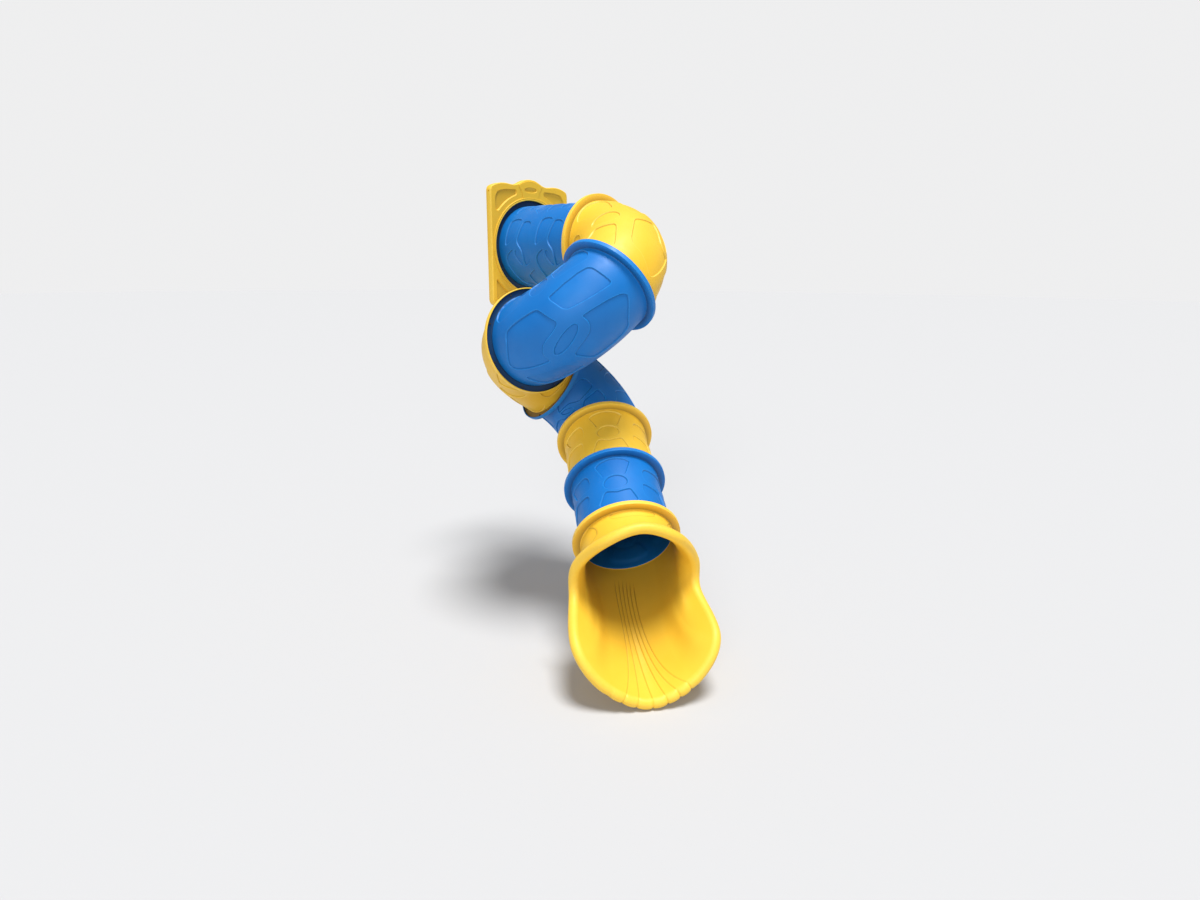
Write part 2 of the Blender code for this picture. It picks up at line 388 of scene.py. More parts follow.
# each tube's pads: a motif, its middle across and down, and how much it is squeezed along the tube
leaning, longPair, shortPair = leaningMotif(), upright(True), upright(False)
bendPads = (padAt(leaning, 5, 271) + padAt(leaning, 720, 271)
            + padAt(longPair, -348, 272) + padAt(longPair, 362, 272))
shortPads = (padAt(leaning, 390, 183, 0.577) + padAt(leaning, -330, 183, 0.577)
             + padAt(shortPair, 30, 183) + padAt(shortPair, 750, 183))
topPads = []
for rowMiddle in (145, 405):
    topPads += padAt(leaning, 425, rowMiddle, 0.52) + padAt(leaning, -295, rowMiddle, 0.52)
    topPads += padAt(shortPair, 65, rowMiddle, 0.78) + padAt(shortPair, 785, rowMiddle, 0.78)


def insidePads(across, down, stretch, pads):
    # how far, in metres, each point of a tube wall lies inside the nearest pad; negative outside
    pixel = 1 / padScale
    margin = 25                 # pixels around a pad beyond which nothing is measured
    farOutside = -0.1           # what is said there, in metres
    tiny = 1e-9
    best = np.full(len(across), farOutside)
    for middle, outline in pads:
        shape = np.array(outline)
        shifted = (across - middle + padTurn / 2) % padTurn - padTurn / 2
        low, high = shape.min(axis=0) - margin, shape.max(axis=0) + margin
        near = np.flatnonzero((shifted > low[0]) & (shifted < high[0]) & (down > low[1]) & (down < high[1]))
        if not len(near):
            continue
        start, end = shape, np.roll(shape, -1, axis=0)
        run = end - start
        px, py = shifted[near][:, None], down[near][:, None]
        share = (px - start[:, 0]) * run[:, 0] + (py - start[:, 1]) * run[:, 1]
        share = np.clip(share / np.maximum((run ** 2).sum(axis=1), tiny), 0.0, 1.0)
        gapX = (px - start[:, 0] - share * run[:, 0]) * pixel
        gapY = (py - start[:, 1] - share * run[:, 1]) * pixel * stretch[near][:, None]
        gap = np.sqrt(gapX ** 2 + gapY ** 2).min(axis=1)
        crosses = (start[:, 1] > py) != (end[:, 1] > py)
        rise = np.where(np.abs(run[:, 1]) < tiny, tiny, run[:, 1])
        where = start[:, 0] + (py - start[:, 1]) * run[:, 0] / rise
        inside = (crosses & (px < where)).sum(axis=1) % 2 == 1
        best[near] = np.maximum(best[near], np.where(inside, gap, -gap))
    return best


# tube sections: modelled straight along +X from the upper joint at x = 0, then bent and set in place

section = {
    "around": 200,              # points around a wall, before its pads' edges are refined
    # rows along the outer and the inner wall
    "rows": {"top": (72, 44), "bend": (80, 52), "lower": (50, 32)},
    "bore": 0.375,
    "skin": 0.382,
    "collar": 0.444,
    "halfCollar": 0.0185,
    "socket": 0.434,
    "seat": 0.0085,
    "flange": 0.432,
    "flangeDepth": 0.008,
    "gap": 0.0003,
    "shoulder": 0.006,          # height of the concave fillet at a collar or flange
    "filletLength": 0.007,
    "padDepth": 0.010,
    "padEdge": 0.0075,          # width of a pad's soft edge
    "innerEdge": 0.030,         # inside the tube the same edges are softer
    "innerWider": 0.010,        # and the pads wider
    "refine": (0.011, 0.0075),  # cells this near to a pad's edge are cut in four, and again
    "easeIn": 0.08,             # length over which a bend's wall leaves the straight collar
    "bendRadius": 0.560,
    # painted shade over the tubes' inner walls
    "innerPaintedShade": 0.45,
    "padFootShade": 0.30,           # painted shade along the foot of a pad's edge
    "footShadeWidth": 0.003,
    "footShadeMiddle": 0.35,        # where it lies across the edge, from -0.5 at its top to 0.5 at its foot
    "collarWearAndHighlight": 0.6,           # wear and painted highlight on a collar's rim
    "padEdgeHighlight": 0.9,              # painted highlight along the top of a pad's edge
    "highlightWidth": 0.004,
    "highlightMiddle": -0.4,
    # painted shade on a collar's back, at its foot, in its socket outside and inside, and on a flange's
    # back
    "jointPaintedShade": (0.03, 0.55, 0.6, 0.92, 0.88),
    "jointShadeReach": (0.004, 0.0015, 0.009),       # from the collar's foot, its socket and a flange's back
    # bevels as (offset, segments): a collar's front, its socket's edge, a collar's back, a flange's back
    "bevels": ((0.004, 4), (0.003, 3), (0.0025, 3), (0.0015, 2)),
    "rimBand": 0.004,           # a collar's rim takes in this much of its radius
    "innerStart": 0.006,        # from the upper face to the first row of the inner skin
    "snapMargin": 0.003,        # this near to the wall's ends nothing slides
    "faceMargin": 0.001,        # and this near to the lower face the inner skin has no pads
    "wallBand": 0.0009,         # a point this near to a skin's radius is on it
}


def startRing(name, distance, radius):
    clearSelection()
    bpy.ops.mesh.primitive_circle_add(vertices=section["around"], radius=radius, fill_type="NOTHING",
                                      location=(distance, 0, 0), rotation=(0, math.radians(90), 0))
    piece = settled(name)
    editAll(piece)
    return piece


def drawRings(rows):
    # extrudes the selected ring from each (distance, radius) to the next one
    for (distance, radius), (nextDistance, nextRadius) in zip(rows, rows[1:]):
        bpy.ops.mesh.extrude_edges_move(TRANSFORM_OT_translate={"value": (nextDistance - distance, 0, 0)})
        if abs(nextRadius - radius) > 1e-7:
            grow = nextRadius / radius
            bpy.ops.transform.resize(value=(1, grow, grow), center_override=(nextDistance, 0, 0))


def drawWall(piece, start, end, radius, steps):
    # one long extrusion from the selected ring, then cut across into rows
    bpy.ops.mesh.extrude_edges_move(TRANSFORM_OT_translate={"value": (end - start, 0, 0)})
    bpy.ops.mesh.select_mode(type="EDGE")
    selectEdges(piece, lambda first, second: abs(abs(first.x - second.x) - abs(end - start)) < closeBy
                and abs(math.hypot(first.y, first.z) - radius) < closeBy)
    bpy.ops.mesh.subdivide_edgering(number_cuts=steps - 1, interpolation="LINEAR", smoothness=0.0)
    bpy.ops.mesh.select_mode(type="VERT")
    selectRings(piece, [(end, radius)])


def selectRings(piece, rings):
    def onRing(point, distance, radius):
        return (abs(point.x - distance) < onRingWithin
                and abs(math.hypot(point.y, point.z) - radius) < onRingWithin)

    selectEdges(piece, lambda first, second: any(onRing(first, *ring) and onRing(second, *ring)
                                                 for ring in rings))


def bevelRing(piece, ring, offset, segments):
    selectRings(piece, [ring])
    bpy.ops.mesh.bevel(offset=offset, segments=segments, profile=0.5, affect="EDGES")


def closeWall(piece, rings):
    # joins the two rings that are left open
    selectRings(piece, rings)
    bpy.ops.mesh.bridge_edge_loops()
    facesOutward()


def filletRows(start, end, low, high):
    # a hollow quarter curve between the plain wall and a flange's face
    rows = []
    for step in range(5):
        turn = math.pi / 2 * step / 4
        rows.append((start + (end - start) * (1 - math.cos(turn)), high - (high - low) * math.sin(turn)))
    return rows


def collarEnd(name):
    s, half = section, section["halfCollar"]
    piece = startRing(name, s["seat"], s["bore"])
    foot = s["skin"] + s["shoulder"]
    drawRings([(s["seat"], s["bore"]), (s["seat"], s["socket"]), (-half, s["socket"]),
               (-half, s["collar"]), (half, s["collar"]), (half, foot)])
    rims = ((-half, s["collar"]), (-half, s["socket"]), (half, s["collar"]))
    for ring, (offset, segments) in zip(rims, s["bevels"]):
        bevelRing(piece, ring, offset, segments)
    selectRings(piece, [(half, foot)])
    drawRings(filletRows(half, half + s["filletLength"], s["skin"], foot))
    return piece, half + s["filletLength"]


def flangeOnlyEnd(name):
    s = section
    piece = startRing(name, s["gap"], s["bore"])
    foot = s["skin"] + s["shoulder"]
    back = s["gap"] + s["flangeDepth"]
    drawRings([(s["gap"], s["bore"]), (s["gap"], s["flange"]), (back, s["flange"]), (back, foot)])
    bevelRing(piece, (back, s["flange"]), *s["bevels"][3])
    selectRings(piece, [(back, foot)])
    drawRings(filletRows(back, back + s["filletLength"], s["skin"], foot))
    return piece, back + s["filletLength"]


def onFaces(piece, picked, operator, **settings):
    # runs an edit mode operator on the picked faces alone
    mesh = piece.data
    mesh.vertices.foreach_set("select", np.zeros(len(mesh.vertices), dtype=bool))
    mesh.edges.foreach_set("select", np.zeros(len(mesh.edges), dtype=bool))
    mesh.polygons.foreach_set("select", picked)
    pickOnly(piece)
    bpy.context.tool_settings.mesh_select_mode = (False, False, True)
    bpy.ops.object.mode_set(mode="EDIT")
    operator(**settings)
    bpy.ops.object.mode_set(mode="OBJECT")
    bpy.context.tool_settings.mesh_select_mode = (True, False, False)


def refineNear(piece, chosen):
    # cuts every face that touches a chosen point in four
    corners = meshValues(piece.data.loops, "vertex_index")
    starts = meshValues(piece.data.polygons, "loop_start")
    picked = np.maximum.reduceat(chosen[corners].astype(np.int8), starts) > 0
    onFaces(piece, picked, bpy.ops.mesh.subdivide, number_cuts=1, ngon=False, quadcorner="INNERVERT")


def turnDiagonals(piece, depth, depthAt):
    # cuts each square across a pad's edge along the diagonal that follows the edge
    mesh = piece.data
    squares = np.flatnonzero(meshValues(mesh.polygons, "loop_total") == 4)
    starts = meshValues(mesh.polygons, "loop_start")[squares]
    points = meshValues(mesh.loops, "vertex_index")[starts[:, None] + np.arange(4)]
    leastChange = 0.02
    uneven = np.ptp(depth[points], axis=1) > leastChange
    squares, points = squares[uneven], points[uneven]
    deep = depth[points]
    middle = depthAt(pointsOf(piece)[points].mean(axis=1))
    firstMiss = np.abs((deep[:, 0] + deep[:, 2]) / 2 - middle)
    otherMiss = np.abs((deep[:, 1] + deep[:, 3]) / 2 - middle)
    cuts = np.zeros(len(mesh.polygons), dtype=np.int32)
    cuts[squares] = np.where(firstMiss <= otherMiss, 1, 2)
    # the faces' order changes with the first cuts, so the choice is kept on the faces
    mesh.attributes.new("cut", "INT", "FACE").data.foreach_set("value", cuts)
    for number, method in ((1, "FIXED"), (2, "FIXED_ALTERNATE")):
        cuts = meshValues(mesh.attributes["cut"].data, "value")
        onFaces(piece, cuts == number, bpy.ops.mesh.quads_convert_to_tris, quad_method=method)
    mesh.attributes.remove(mesh.attributes["cut"])


def jointPaintedShade(x, radius, backs):
    # painted shade in the deep corners: on the flanges' backs, in a collar's socket and at a collar's foot
    s, half = section, section["halfCollar"]
    collarBack, collarFoot, socketOutside, socketInside, flangeBack = s["jointPaintedShade"]
    footReach, socketReach, backReach = s["jointShadeReach"]
    paintedShading = np.zeros(len(x))
    wall, foot, rim = s["skin"] + closeBy, s["skin"] + s["shoulder"], s["collar"] - s["rimBand"]
    paintedShading[(np.abs(x - half) < closeBy) & between(radius, foot - closeBy, rim)] = collarBack
    paintedShading[between(x, half - closeBy, half + footReach) & between(radius, wall, foot + closeBy)] = collarFoot
    socket = np.abs(radius - s["socket"]) < socketReach
    paintedShading[socket & (x < 0.0)] = socketOutside
    paintedShading[socket & (x >= 0.0)] = socketInside
    for back in backs:
        paintedShading[(np.abs(x - back) < backReach) & between(radius, wall, s["socket"])] = flangeBack
    return paintedShading


def footShade(inside):
    # painted shade along the foot of a pad's edge
    s = section
    return bell(inside - s["padEdge"] * s["footShadeMiddle"], s["footShadeWidth"])


def wallMaps(bodyStart, bent):
    # between the points of a straight wall and its pixels; a bend's wall is longer on the outer side
    skin, big = section["skin"], section["bendRadius"]
    quarter = big * math.pi / 2

    def bendAngles(x, y):
        # a bend's wall sets off at the collar's foot, which lies later in the turn on the inner side
        late = np.arcsin(bodyStart / (big - y))
        share = np.clip((x - bodyStart) / (quarter - bodyStart), -0.1, 1.0)
        return late, late + share * (math.pi / 2 - late)

    def toWall(places):
        # pixels around the tube and along it, and how much a bend stretches the wall there
        x, y, z = places.T
        if not bent:
            return np.arctan2(y, -z) * padTurn / math.tau, x * padScale, np.ones(len(x))
        turn = np.arctan2(z, -y)
        down = bendAngles(x, y)[1] * big * padScale
        return turn * padTurn / math.tau, down, 1.0 + skin / big * np.cos(turn)

    def fromWall(across, down):
        turn = across * math.tau / padTurn
        if not bent:
            return np.column_stack([down / padScale, skin * np.sin(turn), -skin * np.cos(turn)])
        y = -skin * np.cos(turn)
        late = np.arcsin(bodyStart / (big - y))
        share = (down / (padScale * big) - late) / (math.pi / 2 - late)
        return np.column_stack([bodyStart + share * (quarter - bodyStart), y, skin * np.sin(turn)])

    return bendAngles, toWall, fromWall


def snapToPads(piece, outer, toWall, fromWall, pads):
    # where the top or foot of a pad's edge crosses the mesh, the nearest points slide onto it
    places = pointsOf(piece)
    across, down, stretch = np.zeros((3, len(places)))
    across[outer], down[outer], stretch[outer] = toWall(places[outer])
    inside = np.full(len(places), -1.0)
    inside[outer] = insidePads(across[outer], down[outer], stretch[outer], pads)
    ends = meshValues(piece.data.edges, "vertices", 2)
    ends = ends[outer[ends].all(axis=1)]
    step = np.zeros(len(places))
    for line in (-section["padEdge"] / 2, section["padEdge"] / 2):
        gap = line - inside
        first, second = ends[gap[ends[:, 0]] * gap[ends[:, 1]] < 0].T
        nearest = np.where(np.abs(gap[first]) < np.abs(gap[second]), first, second)
        nearest = nearest[(step[nearest] == 0) | (np.abs(gap[nearest]) < np.abs(step[nearest]))]
        step[nearest] = gap[nearest]
    moved = np.flatnonzero(step)
    across, down, stretch = across[moved], down[moved], stretch[moved]
    inside, step = inside[moved], step[moved]
    nudge, leastSlope = 0.4, 0.5
    slopeAcross = (insidePads(across + nudge, down, stretch, pads) - inside) * padScale / nudge
    slopeDown = (insidePads(across, down + nudge, stretch, pads) - inside) * padScale / nudge / stretch
    step = step * padScale / np.maximum(np.hypot(slopeAcross, slopeDown), leastSlope)
    places[moved] = fromWall(across + step * slopeAcross, down + step * slopeDown / stretch)
    movePoints(piece, places)
    return places


def makeSection(name, length, upperEnd, rows, pads, bent=False):
    s = section
    outerRows, innerRows = rows
    skin, bore, big = s["skin"], s["bore"], s["bendRadius"]
    piece, bodyStart = upperEnd(name)
    upperFace = s["seat"] if upperEnd is collarEnd else s["gap"]
    face = length + s["seat"] - s["gap"]
    flangeBack = face - s["flangeDepth"]
    bodyEnd = flangeBack - s["filletLength"]
    foot = skin + s["shoulder"]
    drawWall(piece, bodyStart, bodyEnd, skin, outerRows)
    drawRings(filletRows(flangeBack, bodyEnd, skin, foot)[::-1])
    drawRings([(flangeBack, foot), (flangeBack, s["flange"]), (face, s["flange"]), (face, bore)])
    innerEnd = upperFace + s["innerStart"]
    drawWall(piece, face, innerEnd, bore, innerRows)
    closeWall(piece, [(innerEnd, bore), (upperFace, bore)])
    bendAngles, toWall, fromWall = wallMaps(bodyStart, bent)

    def insideAt(places):
        return insidePads(*toWall(places), pads)

    def onWall(places, radius, low, high):
        fromAxis = np.hypot(places[:, 1], places[:, 2])
        return ((np.abs(fromAxis - radius) < s["wallBand"])
                & between(places[:, 0], low + closeBy, high - closeBy))

    def padDepthAt(inside):
        return np.clip(inside / s["padEdge"] + 0.5, 0.0, 1.0)

    for reach in s["refine"]:
        places = pointsOf(piece)
        outer = np.flatnonzero(onWall(places, skin, bodyStart, bodyEnd))
        near = np.full(len(places), 1.0)
        near[outer] = np.abs(insideAt(places[outer]))
        refineNear(piece, near < reach)
        places = pointsOf(piece)
        outer = onWall(places, skin, bodyStart, bodyEnd)
        places[outer, 1:] *= (skin / np.hypot(places[outer, 1], places[outer, 2]))[:, None]
        movePoints(piece, places)
    outer = onWall(places, skin, bodyStart + s["snapMargin"], bodyEnd - s["snapMargin"])
    places = snapToPads(piece, outer, toWall, fromWall, pads)

    x = places[:, 0].copy()
    radius = np.hypot(places[:, 1], places[:, 2])
    outer = onWall(places, skin, bodyStart, bodyEnd)
    inner = onWall(places, bore, innerEnd, face - s["faceMargin"])
    depth = np.zeros(len(x))
    inside = insideAt(places[outer])
    depth[outer] = padDepthAt(inside)
    turnDiagonals(piece, depth, lambda centres: padDepthAt(insideAt(centres)))
    depth[inner] = smoothStep((insideAt(places[inner]) + s["innerWider"]) / s["innerEdge"] + 0.5)
    places[:, 1:] *= ((radius - depth * s["padDepth"]) / radius)[:, None]
    # painted highlight along the tops of the pads' edges, with wear and painted highlight on the collar's
    # rim
    wearAndHighlight = np.where(radius > s["collar"] - s["rimBand"], s["collarWearAndHighlight"], 0.0)
    wearAndHighlight[outer] += s["padEdgeHighlight"] * bell(inside - s["padEdge"] * s["highlightMiddle"], s["highlightWidth"])
    pointValue(piece, "wearAndHighlight", wearAndHighlight)
    # painted shade in the joints' corners, over the inner wall and along the pads' feet
    backs = [flangeBack] + ([] if upperEnd is collarEnd else [s["gap"] + s["flangeDepth"]])
    paintedShading = np.maximum(jointPaintedShade(x, radius, backs), s["innerPaintedShade"] * inner)
    paintedShading[outer] += s["padFootShade"] * footShade(inside)
    pointValue(piece, "paintedShade", paintedShading)

    if bent:
        # the collar stays straight, and the wall eases from it into the bend
        x, y, z = places.T
        late, turned = bendAngles(x, y)
        arm = big - y
        lift = arm * (1 - np.cos(late)) * (1 - smoothStep((x - bodyStart) / s["easeIn"]))
        past = np.maximum(x - big * math.pi / 2, 0.0)
        curved = np.column_stack([arm * np.sin(turned), big - arm * np.cos(turned) - lift + past, z])
        places = np.where((x < bodyStart + 1e-6)[:, None], places, curved)
    movePoints(piece, places)
    shadeSmooth(piece)
    return piece


def copyOf(piece, name):
    copied = piece.copy()
    copied.data = piece.data.copy()
    giveName(copied, name)
    bpy.context.scene.collection.objects.link(copied)
    return copied


def placeFor(position, travel, across):
    # carries a piece that was made along +X to its place in the route
    columns = Matrix((travel, across, travel.cross(across))).transposed()
    return Matrix.Translation(position) @ columns.to_4x4()


def setInPlace(piece, position, travel, across, roll=0.0):
    piece.matrix_world = placeFor(position, travel, across) @ Matrix.Rotation(roll, 4, "X")
    applyPlace(piece)


# the route, from the panel down, as in the CAD

route = {
    "axisHeight": 0.495,
    "ringFront": -0.078,
    "panelSeat": 0.040,
    "topLength": 0.942,
    "lowerLength": 0.609,
    "bendRolls": (36.9, 15.5, 31.1, 33.7),      # degrees that each bend dips below level
    "lowerTurn": 5.0,                            # the second lower tube is bolted on turned by this
}


def levelRight(travel):
    return travel.cross(up).normalized()


travel = Vector((0.0, -1.0, 0.0))
seat = Vector((0.0, -route["panelSeat"], route["axisHeight"]))
position = Vector((0.0, route["ringFront"] - route["topLength"], route["axisHeight"]))
joints = [(seat, travel)]

# the first tube's pads are counted from the panel's ring, 38 mm past the tube's own end
seatPixels = -(route["panelSeat"] + route["ringFront"]) * padScale
rows = section["rows"]
topTube = makeSection("topTube", (position - seat).length, flangeOnlyEnd, rows["top"],
                      [(across, [(x, y + seatPixels) for x, y in outline]) for across, outline in topPads])
setInPlace(topTube, seat, travel, levelRight(travel))
finishPiece(topTube, "top_tube", blue)
print("top tube ready")

quarterLength = section["bendRadius"] * math.pi / 2
bendMaster = makeSection("bendMaster", quarterLength, collarEnd, rows["bend"], bendPads, bent=True)
for number, roll in enumerate(route["bendRolls"]):
    joints.append((position, travel))
    right = levelRight(travel)
    down = travel.cross(right)
    angle = math.radians(roll)
    leaving = (math.cos(angle) * right + math.sin(angle) * down).normalized()
    bend = copyOf(bendMaster, f"bend{number + 1}")
    setInPlace(bend, position, travel, leaving)
    finishPiece(bend, f"bend_{number + 1}", (yellow, blue)[number % 2])
    position = position + section["bendRadius"] * (travel + leaving)
    travel = leaving
bpy.data.objects.remove(bendMaster)
print("four bends ready")

lowerMaster = makeSection("lowerMaster", route["lowerLength"], collarEnd, rows["lower"], shortPads)
for number, finish in enumerate((yellow, blue)):
    joints.append((position, travel))
    tube = copyOf(lowerMaster, f"lowerTube{number + 1}")
    setInPlace(tube, position, travel, levelRight(travel), math.radians(route["lowerTurn"] * number))
    finishPiece(tube, f"lower_tube_{number + 1}", finish)
    position = position + route["lowerLength"] * travel
bpy.data.objects.remove(lowerMaster)
joints.append((position, travel))
print("lower tubes ready")

# exit chute: a collar like the others, a short hood and an open trough with a thick rolled rim

chute = {
    # the rim, on one side, from the hood's top to the lip, as (out, forward, up) from the joint's
    # middle, and the way the wall runs where it meets the rim
    "rim": [((0.0, 0.558, 0.301), (0.0, 0.95, 0.15)),
            ((0.269, 0.542, 0.205), (0.35, 0.90, 0.10)),
            ((0.455, 0.371, -0.044), (0.60, 0.75, 0.15)),
            ((0.479, 0.381, -0.295), (0.65, 0.45, 0.50)),
            ((0.514, 0.793, -0.496), (0.80, 0.30, 0.50)),
            ((0.328, 0.919, -0.748), (0.35, 0.85, -0.10)),
            ((0.0, 0.944, -0.893), (0.0, 0.985, -0.17))],
    "rimRadius": 0.0428,
    "wall": 0.007,
    "around": 460,
    "seatShare": 0.50,          # this share of the points lies in the seat's strip
    "seatStrip": (0.86, 1.19),  # in half turns from the top
    "outerRows": 66,
    "beadRows": 28,
    "innerRows": 100,
    # the seat's grooves, in half turns around: where each starts, and at each step of the way down
    "grooves": [
        [0.930, 0.925, 0.926, 0.931, 0.926, 0.913, 0.905],
        [0.960, 0.951, 0.951, 0.957, 0.958, 0.955, 0.952],
        [0.988, 0.976, 0.978, 0.985, 0.992, 1.002, 1.006],
        [1.014, 1.001, 1.008, 1.016, 1.032, 1.047, 1.056],
        [1.037, 1.025, 1.030, 1.040, 1.056, 1.079, 1.098],
        [1.062, 1.051, 1.055, 1.064, 1.081, 1.113, 1.139]],
    "grooveStarts": [0.09, 0.09, 0.09, 0.10, 0.11, 0.12],
    "grooveSteps": [0.26, 0.45, 0.60, 0.75, 0.90, 1.0],
    "grooveDepth": 0.0052,
    "grooveWidth": 0.0036,
    "grooveFade": 0.10,         # share of the way down over which a groove sets in
    "groovePoints": 70,         # points that a groove's path is measured at
    "shadeDepth": 1.05,         # share of the way down that the painted shadow under the hood fades over
    "hoodShadow": 0.56,
    "padDepth": 0.0055,         # less than the wall
    "lobeDepth": 0.0065,        # the lip is scalloped between the grooves
    "lobeTurn": 0.047,          # half turns that the outermost lobe takes
    "lobeFade": 0.03,           # and that the scallops fade over beside it
    "lobeSide": (1.6, 1.7),     # where around the rim the scallops show, as (middle, spread) in radians
    "notchDepth": 0.0060,
    "notchWidth": 0.006,
    "lipLength": 2.07,          # metres of rim in half a turn, near the lip
    "outerShort": 0.026,        # the outer skin stops this far before the wall's end
    "wallCurve": 1.04,          # the curved wall is this many times as long as its straight span
    # painted shade along the pads' feet and in the grooves, and wear and painted highlight on the rolled
    # rim
    "chutePadShade": 0.4,
    "grooveShade": 0.28,
    "rimWearAndHighlight": 0.35,
    # in pixels: one pad on top and one to each side, mirrored
    "topPad": [(-118, 26), (-104, 14), (-40, 8), (40, 8), (104, 16), (116, 28), (104, 46), (60, 55),
               (-60, 55), (-106, 44)],
    "sidePad": [(-78, 84), (-74, 56), (-60, 38), (-20, 12), (30, 4), (110, 14), (118, 40), (100, 92),
                (20, 104), (-50, 98)],
    "sidePlace": 265,
}


def unit(rows):
    return rows / np.linalg.norm(rows, axis=-1, keepdims=True)


def onCurve(before, start, end, after, u):
    # the place at share u of the way from start to end, on a smooth curve through all four
    slopeIn, slopeOut = (end - before) / 2, (after - start) / 2
    return ((2 * u ** 3 - 3 * u ** 2 + 1) * start + (u ** 3 - 2 * u ** 2 + u) * slopeIn
            + (3 * u ** 2 - 2 * u ** 3) * end + (u ** 3 - u ** 2) * slopeOut)


def closedCurve(half):
    # a smooth closed curve, from 0 at the top to 1 at the lip and on to 2 back at the top
    half = np.array([(forward, -out, height) for out, forward, height in half])
    points = np.vstack([half, half[-2:0:-1] * [1, -1, 1]])

    def at(share):
        place = (np.asarray(share) % 2.0) * (len(half) - 1)
        index = np.floor(place).astype(int)
        nearby = (points[(index + offset) % len(points)] for offset in (-1, 0, 1, 2))
        return onCurve(*nearby, (place - index)[..., None])

    return at


def chuteSurface(travel):
    # the wall's middle surface in a level frame, +X forward and +Z up, as a function of two shares
    slope = math.asin(-travel.z)
    ahead = np.array([math.cos(slope), 0.0, -math.sin(slope)])
    across = np.array([math.sin(slope), 0.0, math.cos(slope)])
    side = np.cross(ahead, across)
    rim = closedCurve([point for point, run in chute["rim"]])
    wallRun = closedCurve([run for point, run in chute["rim"]])
    begin = section["halfCollar"] + section["filletLength"]

    def frameAt(turn):
        centre, step = rim(turn), 0.001
        along = unit(rim(turn + step) - rim(turn - step))
        run = wallRun(turn)
        run = unit(run - (run * along).sum(axis=-1, keepdims=True) * along)
        return centre, run, unit(np.cross(along, run))

    def middle(turn, down):
        centre, run, out = frameAt(turn)
        angle = math.pi * turn[..., None]
        ring = np.cos(angle) * across + np.sin(angle) * side
        start = ahead * begin + (section["bore"] + chute["wall"] / 2) * ring
        end = centre - out * (chute["rimRadius"] - chute["wall"] / 2)
        reach = np.linalg.norm(end - start, axis=-1, keepdims=True) / 3
        first, second = start + ahead * reach, end - run * reach
        t, rest = down[..., None], 1.0 - down[..., None]
        return rest ** 3 * start + 3 * rest ** 2 * t * first + 3 * rest * t ** 2 * second + t ** 3 * end

    def outward(turn, down):
        turnStep, downStep = 0.004, 0.005
        low, high = np.maximum(0.0, down - downStep), np.minimum(1.0, down + downStep)
        return unit(np.cross(middle(turn + turnStep, down) - middle(turn - turnStep, down),
                             middle(turn, high) - middle(turn, low)))

    return frameAt, middle, outward, (ahead, across, side)


def seatTurns():
    # where the points stand around the chute, closer together in the seat's strip
    low, high = chute["seatStrip"]
    inStrip = round(chute["around"] * chute["seatShare"])
    rest = chute["around"] - inStrip
    strip = low + (high - low) * np.arange(inStrip) / inStrip
    return np.sort(np.concatenate([strip, (high + (2.0 - high + low) * np.arange(rest) / rest)]) % 2.0)


def grooveDepths(middle, turn, down):
    # 0 on the plain seat, 1 in the bottom of a groove
    places = middle(turn, down)
    depth = np.zeros(turn.shape)
    for first, turns in zip(chute["grooveStarts"], chute["grooves"]):
        steps = np.linspace(first, 1.0, chute["groovePoints"])
        fit = np.polyfit([first] + chute["grooveSteps"], turns, 4)
        path = middle(np.polyval(fit, steps), steps)
        gap = np.full(turn.shape, 1.0)
        for start, end in zip(path, path[1:]):
            run = end - start
            share = np.clip(((places - start) @ run) / (run @ run), 0.0, 1.0)
            gap = np.minimum(gap, np.linalg.norm(places - start - share[..., None] * run, axis=-1))
        fade = smoothStep((down - first) / chute["grooveFade"] + 0.3)
        depth = np.maximum(depth, fade * bell(gap, chute["grooveWidth"]))
    return depth


def lipLobes(turn):
    # how far the rim swells between two grooves, and how near a point is to a groove's end
    ends = np.array([turns[-1] for turns in chute["grooves"]])
    ends = np.concatenate([[ends[0] - chute["lobeTurn"]], ends])
    swell = np.zeros(turn.shape)
    for low, high in zip(ends, ends[1:]):
        share = (turn - low) / (high - low)
        swell = np.where((share > 0) & (share < 1), np.maximum(swell, 4 * share * (1 - share)), swell)
    outside = (turn < ends[0]) | (turn > ends[-1])
    near = bell(np.abs(turn[..., None] - ends[1:]).min(axis=-1) * chute["lipLength"], chute["notchWidth"])
    far = np.minimum(np.abs(turn - ends[0]), np.abs(turn - ends[-1])) / chute["lobeFade"]
    return np.where(outside, np.minimum(far, 1.0), swell), near


